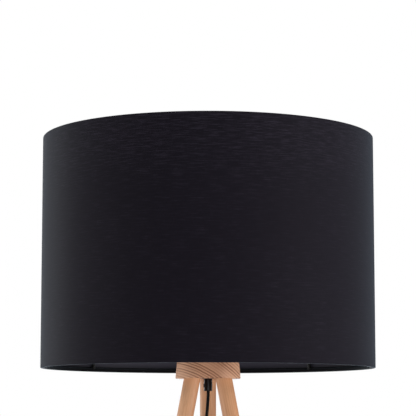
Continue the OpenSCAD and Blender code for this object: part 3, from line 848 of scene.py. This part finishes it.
def make_lampholder(plastic):
    """The holder's cap, its threaded shell and the two rings that clamp the shade's plate."""
    low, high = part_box("lampholder_cap")
    cap_r, wall, boss, tube = high.x, 2.5 * MM, 8 * MM, 5.05 * MM
    outline = rounded([
        (tube, low.z), (cap_r - 2 * MM, low.z, 1.5 * MM),
        (cap_r, low.z + 2.5 * MM, 1.5 * MM), (cap_r, low.z + 6 * MM), (cap_r, high.z - 3 * MM),
        (cap_r, high.z, 0.5 * MM), (cap_r - wall, high.z), (cap_r - wall, low.z + 3 * MM, MM),
        (boss, low.z + 3 * MM, 0.5 * MM), (boss, low.z + 11 * MM, 0.5 * MM),
        (tube, low.z + 11 * MM),
    ], closed=True)

    def ribs(angle, radius, height):
        ribbed = radius > cap_r - 0.2 * MM and low.z + 5 * MM < height < high.z - 2 * MM
        return 0.3 * MM * (math.cos(36 * angle) - 1) if ribbed else 0

    skin = lathe(outline, segments=216, closed=True, swell=ribs)
    add_piece("holder_cap", *skin, "stand", plastic, "holder_plastic", ["lampholder_cap"])

    low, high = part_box("lampholder_shell")
    shell_r, bore, lip, shell_pitch = high.x, 17.5 * MM, 15.5 * MM, 2.5 * MM
    outline = [(shell_r, z) for z in spread(low.z, high.z, 84)]
    outline += rounded([
        (shell_r, high.z), (lip, high.z, 0.8 * MM), (lip, high.z - 3 * MM, 0.5 * MM),
        (bore, high.z - 3 * MM), (bore, low.z),
    ])[1:]

    def thread(angle, radius, height):
        if radius < shell_r - 0.01 * MM or height > high.z - 1.5 * MM:
            return 0
        return 0.35 * MM * (math.cos(TURN * (height / shell_pitch) - angle) - 1)

    skin = lathe(outline, segments=96, closed=True, swell=thread)
    add_piece("holder_shell", *skin, "stand", plastic, "holder_plastic", ["lampholder_shell"])

    for name in ("shade_ring_lower", "shade_ring_upper"):
        low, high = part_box(name)
        rim, bore = high.x, 20.1 * MM
        outline = rounded([
            (bore, low.z, 0.4 * MM), (rim, low.z, 0.9 * MM), (rim, high.z, 0.9 * MM),
            (25 * MM, high.z, 0.4 * MM), (23.5 * MM, high.z - MM, 0.4 * MM),
            (bore, high.z - MM, 0.4 * MM),
        ], closed=True)

        def knurls(angle, radius, height, rim=rim):
            return 0.45 * MM * (math.cos(48 * angle) - 1) if radius > rim - 0.95 * MM else 0

        skin = lathe(outline, segments=384, closed=True, swell=knurls)
        add_piece(f"{name}_knurled", *skin, "stand", plastic, "holder_plastic", [name])


def make_bulb(glass, metal):
    """The opal envelope, a round head that runs smoothly into its neck, and the threaded cap."""
    low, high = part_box("bulb_glass")
    radius = high.x
    centre = high.z - radius
    reach = radius * math.sin(TURN / 8)
    meet = (reach, centre - reach)
    neck = 14 * MM
    outline = [(13.2 * MM, low.z), (neck, low.z + 1.5 * MM), (neck, low.z + 6 * MM)]
    bend = Vector((neck, meet[1] - (reach - neck)))
    outline += curve(Vector(outline[-1]), bend, Vector(meet), 12)[1:-1]
    for angle in spread(-45, 90, 36):
        out, up = polar(radius, math.radians(angle))
        outline.append((out, centre + up))
    outline[-1] = (0, high.z)
    skin = lathe(outline, segments=96)
    add_piece("bulb_envelope", *skin, "bulb", glass, "opal_glass", ["bulb_glass"])

    low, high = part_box("bulb_cap")
    outer, depth, pitch = 13.0 * MM, 0.6 * MM, 3.63 * MM
    rows = spread(low.z + 3 * MM, high.z - 4 * MM, 50)
    outline = [
        (0, low.z), (8.6 * MM, low.z), (9 * MM, low.z + 0.3 * MM), (11.9 * MM, low.z + 2.6 * MM),
    ]
    outline += [(outer - depth, z) for z in rows]
    top, rim = high.z, neck + 0.05 * MM
    outline += rounded([
        (12.6 * MM, top - 3.6 * MM), (high.x, top - 2.4 * MM, 0.8 * MM), (high.x, top, 0.3 * MM),
        (rim, top), (rim, top - 1.5 * MM), (0, top - 1.5 * MM),
    ])
    first, last = rows[0], rows[-1]

    def thread(angle, radius, height):
        if not first <= height <= last or abs(radius - outer + depth) > 0.01 * MM:
            return 0
        fade = min(1, (height - first) / pitch * 2, (last - height) / pitch * 2)
        return depth * fade * math.cos(TURN * height / pitch - angle)

    skin = lathe(outline, segments=96, swell=thread)
    add_piece("bulb_screw_cap", *skin, "bulb", metal, "nickel", ["bulb_cap"])


def make_glides(plastic):
    """A rounded plastic glide under each foot, with the hole that its nail goes through."""
    low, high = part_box("foot_glides")
    pad, hole, sunk = 9 * MM, 1.05 * MM, 2 * MM
    outline = rounded([
        (0, low.z), (7.6 * MM, low.z, 0.5 * MM), (pad, 1.5 * MM, 0.8 * MM),
        (pad, high.z, 0.4 * MM), (hole, high.z), (hole, sunk), (0, sunk),
    ], steps=4)
    parts = []
    for angle in LEG_ANGLES.values():
        place = Matrix.Translation((*polar(FOOT_RADIUS, angle), 0))
        parts.append(lathe(outline, place, segments=72))
    skin = joined(*parts)
    add_piece("foot_glide_pads", *skin, "stand", plastic, "black_plastic", ["foot_glides"])


# --- the foot switch, the plug and the coil's strap ---
SWITCH_X, SWITCH_Y = -66 * MM, 100 * MM
SWITCH_HALF = (39 * MM, 17 * MM)
BUTTON_R = 12 * MM


def stadium(inset, z, count=96):
    """A ring at height z round a bar with round ends, set in by inset all round."""
    radius = SWITCH_HALF[1] - inset
    straight = SWITCH_HALF[0] - SWITCH_HALF[1]
    run = 4 * straight + TURN * radius
    ring = []
    for k in range(count):
        s = (run * k / count + straight) % run
        side = 1 if s < run / 2 else -1
        s %= run / 2
        x, y = straight - s, radius
        if x < -straight:
            y, x = polar(radius, (s - 2 * straight) / radius)
            x = -straight - x
        ring.append(Vector((SWITCH_X + side * x, SWITCH_Y + side * y, z)))
    return ring


def round_hole(radius, z, count=96):
    """A ring at height z round the button's hole."""
    return [Vector((SWITCH_X - b, SWITCH_Y + a, z)) for a, b in circle_of(radius, count)]


def make_switch(plastic, metal):
    """A two-part housing with a seam, a hollow-topped button and the spring under it."""
    low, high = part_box("switch_base")
    wall = 2 * MM
    profile = rounded([
        (1.2 * MM, low.z), (0, low.z, MM), (0, high.z, 0.5 * MM), (wall, high.z, 0.2 * MM),
        (wall, 2 * MM),
    ], steps=4)
    profile[0] = Vector((2.4 * MM, low.z))
    skin = loft([stadium(inset, z) for inset, z in profile])
    slot = "black_plastic"
    base = add_piece("switch_housing_base", *skin, "stand", plastic, slot, ["switch_base"])

    low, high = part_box("switch_cover")
    hole = 12.3 * MM
    shoulder = rounded([
        (wall, low.z), (0, low.z, 0.5 * MM), (0, high.z - 0.4 * MM, 4 * MM),
        (6 * MM, high.z - 0.15 * MM),
    ], steps=7)
    rings = [stadium(wall, high.z - wall), *[stadium(inset, z) for inset, z in shoulder]]
    lip = rounded([(14 * MM, high.z), (hole, high.z, 0.5 * MM), (hole, high.z - 2 * MM)], steps=4)
    rings += [round_hole(radius, z) for radius, z in lip]
    skin = loft(rings, closed=True)
    cover = add_piece("switch_housing_cover", *skin, "stand", plastic, slot, ["switch_cover"])

    low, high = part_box("switch_button")
    place = Matrix.Translation((SWITCH_X, SWITCH_Y, 0))
    hollow, flange, dish_depth, dish_share = 7.5 * MM, 13.5 * MM, 1.1 * MM, 0.86
    dish = [(BUTTON_R * share, high.z - dish_depth * (1 - (share / dish_share) ** 2))
            for share in (0.8, 0.7, 0.6, 0.5, 0.4, 0.3, 0.2, 0.1)]
    outline = rounded([
        (0, low.z + 4.7 * MM), (hollow, low.z + 4.7 * MM), (hollow, low.z),
        (flange, low.z), (flange, low.z + 2 * MM, 0.3 * MM), (BUTTON_R, low.z + 2 * MM),
        (BUTTON_R, high.z, 1.4 * MM), (BUTTON_R * dish_share, high.z, 0.3 * MM), *dish,
        (0, high.z - dish_depth),
    ])
    skin = lathe(outline, place, segments=96)
    add_piece("foot_button", *skin, "switch_button", plastic, slot, ["switch_button"])

    low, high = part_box("switch_spring")
    wire, radius, turns, steps = 0.5 * MM, 5.5 * MM, 6, 30
    route = []
    for k in range(turns * steps + 1):
        angle, share = TURN * k / steps, k / (turns * steps)
        climb = min(1, max(0, (share * turns - 1) / (turns - 2)))
        level = share * turns * 2 * wire if share * turns < 1 else 2 * wire
        level += max(0, share * turns - turns + 1) * 2 * wire
        height = low.z + wire + level + climb * (high.z - low.z - 6 * wire)
        x, y = polar(radius, angle)
        route.append((SWITCH_X + x, SWITCH_Y + y, height, 0))
    circle = circle_of(wire, 10)
    skin = swept(route, circle)
    spring = add_piece("button_spring", *skin, "stand", metal, "steel", ["switch_spring"], sharp=60)
    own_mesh(spring)
    return base, cover


def rounded_box(x, width, height, corner, middle, steps=7):
    """A ring in the plane at x: a rectangle, width by height, with round corners."""
    ring = []
    for turn, (side, up) in enumerate([(1, 1), (-1, 1), (-1, -1), (1, -1)]):
        for k in range(steps + 1):
            angle = TURN / 4 * (turn + k / steps)
            across, rise = polar(corner, angle)
            ring.append(Vector((
                x, middle[0] + side * (width / 2 - corner) + across,
                middle[1] + up * (height / 2 - corner) + rise,
            )))
    return ring


def make_plug(rubber, metal):
    """A flat two-pin plug moulded onto the cord, with a ribbed boot."""
    low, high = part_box("plug_body")
    middle = (100 * MM, (low.z + high.z) / 2)
    length = high.x - low.x
    # Share of the length, then width, height and corner radius in millimetres.
    sections = [
        (0.000, 12.5, 10.5, 5.0), (0.02, 14.5, 12.0, 5.4), (0.10, 15.2, 12.8, 5.4),
        (0.20, 16.2, 13.2, 5.2), (0.32, 20.5, 13.5, 5.0), (0.44, 27.0, 13.7, 4.8),
        (0.56, 32.0, 13.8, 4.6), (0.70, 34.2, 13.8, 4.4), (0.86, 34.9, 13.8, 4.2),
        (0.955, 34.6, 13.7, 4.2), (0.985, 33.9, 13.0, 4.0), (1.000, 32.6, 11.8, 3.6),
    ]
    fine = []
    for (s0, *a), (s1, *b) in zip(sections, sections[1:]):
        for k in range(3):
            t = k / 3
            fine.append((s0 + (s1 - s0) * t, *[p + (q - p) * t for p, q in zip(a, b)]))
    fine.append(sections[-1])
    rings = []
    for share, width, height, corner in fine:
        grooved = 0.10 < share < 0.34 and math.cos(TURN * share / 0.075) < -0.2
        dip = 0.7 if grooved else 0.0
        rings.append(rounded_box(
            low.x + share * length, (width - dip) * MM, (height - dip) * MM, corner * MM, middle))
    parts = [loft(rings)]
    pins = []
    pin_r, pin_long, pins_apart = 2 * MM, 19 * MM, 18.6 * MM
    sleeve = [(pin_r, 0), (2.12 * MM, 0), (2.12 * MM, 9.6 * MM), (pin_r, 10 * MM)]
    pin = rounded([
        (0, -MM), (pin_r, -MM), (pin_r, 17.6 * MM, 1.4 * MM), (1.2 * MM, pin_long, 0.6 * MM),
        (0, pin_long),
    ])
    for side in (-1, 1):
        place = along_x(high.x, middle[0] + side * pins_apart / 2, middle[1])
        parts.append(lathe(sleeve, place, segments=40, closed=True))
        pins.append(lathe(pin, place, segments=40))
    skin = joined(*parts)
    body = add_piece("plug_moulding", *skin, "stand", rubber, "plug_rubber", ["plug_body"])
    prongs = add_piece("plug_prongs", *joined(*pins), "stand", metal, "nickel", ["plug_pins"])

    low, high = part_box("plug_relief")
    run, thin, wide = high.x - low.x, 3.7 * MM, 5.5 * MM
    outline = [(2.85 * MM, 1.2 * MM), (2.85 * MM, 0), (thin - 0.4 * MM, 0), (thin, 0.4 * MM)]
    for rib in range(6):
        start = 2.2 * MM + rib * 3.2 * MM
        for shift, dip in [(0, 0), (0.25, 0.55), (1.25, 0.55), (1.5, 0)]:
            x = start + shift * MM
            outline.append((thin + (wide - thin) * x / run - dip * MM, x))
    outline += [(wide, run), (4.2 * MM, run + MM)]
    skin = lathe(outline, along_x(low.x, middle[0], middle[1]), segments=64)
    boot = add_piece("plug_boot", *skin, "stand", rubber, "plug_rubber", ["plug_relief"], sharp=40)
    return body, prongs, boot


def make_strap(weave):
    """A woven strap round one side of the coil, lapped over itself on top."""
    low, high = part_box("coil_tie")
    middle, half = (low.x + high.x) / 2, (high.x - low.x) / 2
    thick = 0.3 * MM
    near, far, bend, edge = low.y + thick, high.y - 0.9 * MM, 2.5 * MM, 0.2 * MM
    loop = rounded([
        (near, low.z + thick, bend), (far, low.z + thick, bend),
        (far, high.z - thick, bend), (near, high.z - thick, bend),
    ], steps=7, closed=True)
    strap = rounded([
        (-half, -thick, edge), (half, -thick, edge), (half, thick, edge), (-half, thick, edge),
    ], steps=2, closed=True)
    rings = []
    for i, point in enumerate(loop):
        along = loop[(i + 1) % len(loop)] - loop[i - 1]
        out = Vector((along.y, -along.x)).normalized()
        rings.append([Vector((middle + a, *(point + out * b))) for a, b in strap])
    band = loft(rings, closed=True)
    start, end = low.y + 4 * MM, high.y - 5 * MM
    lap = []
    for share in spread(0, 1, 11):
        lift = 2 * thick * min(1, share * 5)
        y = start + (end - start) * share
        top = high.z - thick + lift
        lap.append([Vector((middle + a * 0.99, y, top + b)) for a, b in strap])
    skin = joined(band, loft(lap))
    return add_piece("coil_strap", *skin, "stand", weave, "tie_strap", ["coil_tie"], sharp=60)


# --- the CAD nodes that stay, the floor and the light ---
def dress(material, *names):
    """Gives CAD nodes that keep their own shape a better material."""
    for name in names:
        for material_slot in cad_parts[name].material_slots:
            material_slot.link = "OBJECT"
            material_slot.material = material


def make_floor(material):
    """A round floor, a little wider than the lamp is tall."""
    points = [(x, y, 0) for x, y in circle_of(1.7, 128)]
    put_mesh("floor", points, [range(len(points))], material)


def make_softbox(name, location, target, size, power):
    """A rectangular soft light that the camera doesn't see."""
    data = bpy.data.lights.new(name, "AREA")
    data.shape = "RECTANGLE"
    data.size, data.size_y = size
    data.energy = power
    data.spread = math.radians(120)
    light = bpy.data.objects.new(name, data)
    light.location = location
    light.rotation_mode = "QUATERNION"
    light.rotation_quaternion = (Vector(target) - Vector(location)).to_track_quat("-Z", "Y")
    light.visible_camera = False
    bpy.context.scene.collection.objects.link(light)


def make_world(fill):
    """A white background behind the lamp, and a dimmer even light from all round it."""
    world = bpy.data.worlds.new("studio")
    world.use_nodes = True
    tree = world.node_tree
    tree.nodes.clear()
    seen = tree.nodes.new("ShaderNodeBackground")
    around = tree.nodes.new("ShaderNodeBackground")
    for background, strength in [(seen, 1.0), (around, fill)]:
        background.inputs["Color"].default_value = rgb(1, 1, 1)
        background.inputs["Strength"].default_value = strength
    ray = tree.nodes.new("ShaderNodeLightPath")
    either = tree.nodes.new("ShaderNodeMixShader")
    out = tree.nodes.new("ShaderNodeOutputWorld")
    tree.links.new(ray.outputs["Is Camera Ray"], either.inputs[0])
    tree.links.new(around.outputs[0], either.inputs[1])
    tree.links.new(seen.outputs[0], either.inputs[2])
    tree.links.new(either.outputs[0], out.inputs["Surface"])
    bpy.context.scene.world = world


# --- the scene ---
make_camera()
sheath = plastic_finish("cord_sheath", (0.0045, 0.0045, 0.005), 0.42, 0.55, 700)
(cord_to_switch, drop_line), (cord_to_plug, onward_line) = make_cords(sheath)

plastic = plastic_finish("black_plastic", (0.0045, 0.0042, 0.0048), 0.26, 0.38)
glossy = plastic_finish("grip_plastic", (0.0045, 0.0042, 0.0048), 0.23, 0.31, gloss=0.22)
holder = plastic_finish("holder_plastic", (0.008, 0.008, 0.008), 0.22, 0.34, 1400)
rubber = plastic_finish("plug_rubber", (0.010, 0.010, 0.010), 0.46, 0.60, 1600, 0.0002)
paint = paint_finish()
steel = metal_finish("zinc_steel", (0.52, 0.52, 0.54), 0.28, 0.42)
nickel = metal_finish("nickel", (0.62, 0.59, 0.53), 0.16, 0.28, (300, 300, 2600))

make_shade_cloth(cloth_finish())
make_shade_lining(lining_finish())
make_spider(paint)
make_cord_grip(glossy)
make_lampholder(holder)
make_bulb(opal_finish(), nickel)
make_glides(plastic)
switch_parts = make_switch(plastic, steel)
body, prongs, boot = make_plug(rubber, nickel)
strap = make_strap(strap_finish())

hub_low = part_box("hub_block")[0].z
lean = math.atan((FOOT_RADIUS - LEG_TOP_RADIUS) / hub_low)
# Each leg's share of its wood's lightness is painted light and shade: the back leg, deeper in
# shade, is painted darkest, and the front right leg a little lighter than the left.
for name, seed, share in [
    ("leg_back", 4.1, 0.74), ("leg_front_left", 2.3, 0.83), ("leg_front_right", 5.6, 0.87),
]:
    wood = leg_wood_finish(f"wood_{name}", LEG_ANGLES[name], lean, hub_low, seed, share)
    dress(wood, name)
dress(hub_wood_finish(hub_low + HUB_TALL), "hub_block")
dress(sheath, "inner_lead")
dress(paint, "top_ring", "bottom_ring")
dress(steel, "hub_plate", "leg_inserts", "leg_bolts", "bolt_washers", "glide_nails",
      "threaded_tube", "tube_coupling", "switch_screws")
dress(nickel, "contact_sleeve", "centre_contact", "terminal_screws", "switch_contacts")
dress(porcelain_finish(), "contact_block")
dress(black_glass_finish(), "bulb_tip")

make_floor(floor_finish())
for name, location, aim, size, watts in [
    ("left_back", (-1.9, 1.15, 1.3), 1.2, (1.2, 2.0), 12),
    ("left_side", (-2.35, -0.8, 1.3), 1.2, (1.4, 2.0), 22),
    ("right_back", (2.0, 1.10, 1.3), 1.2, (1.2, 2.0), 4),
    ("right_side", (2.2, -1.0, 1.3), 1.2, (1.4, 2.0), 35),
    ("front_box", (0.5, -3.4, 1.6), 1.1, (2.6, 2.6), 27),
    ("back_box", (-0.3, 3.4, 1.5), 1.1, (2.6, 2.6), 22),
    ("top_box", (0.1, -0.1, 2.9), 1.3, (1.1, 1.1), 15),
]:
    make_softbox(name, location, (0, 0, aim), size, watts)
make_world(fill=0.08)
bpy.context.scene.view_settings.view_transform = "Standard"
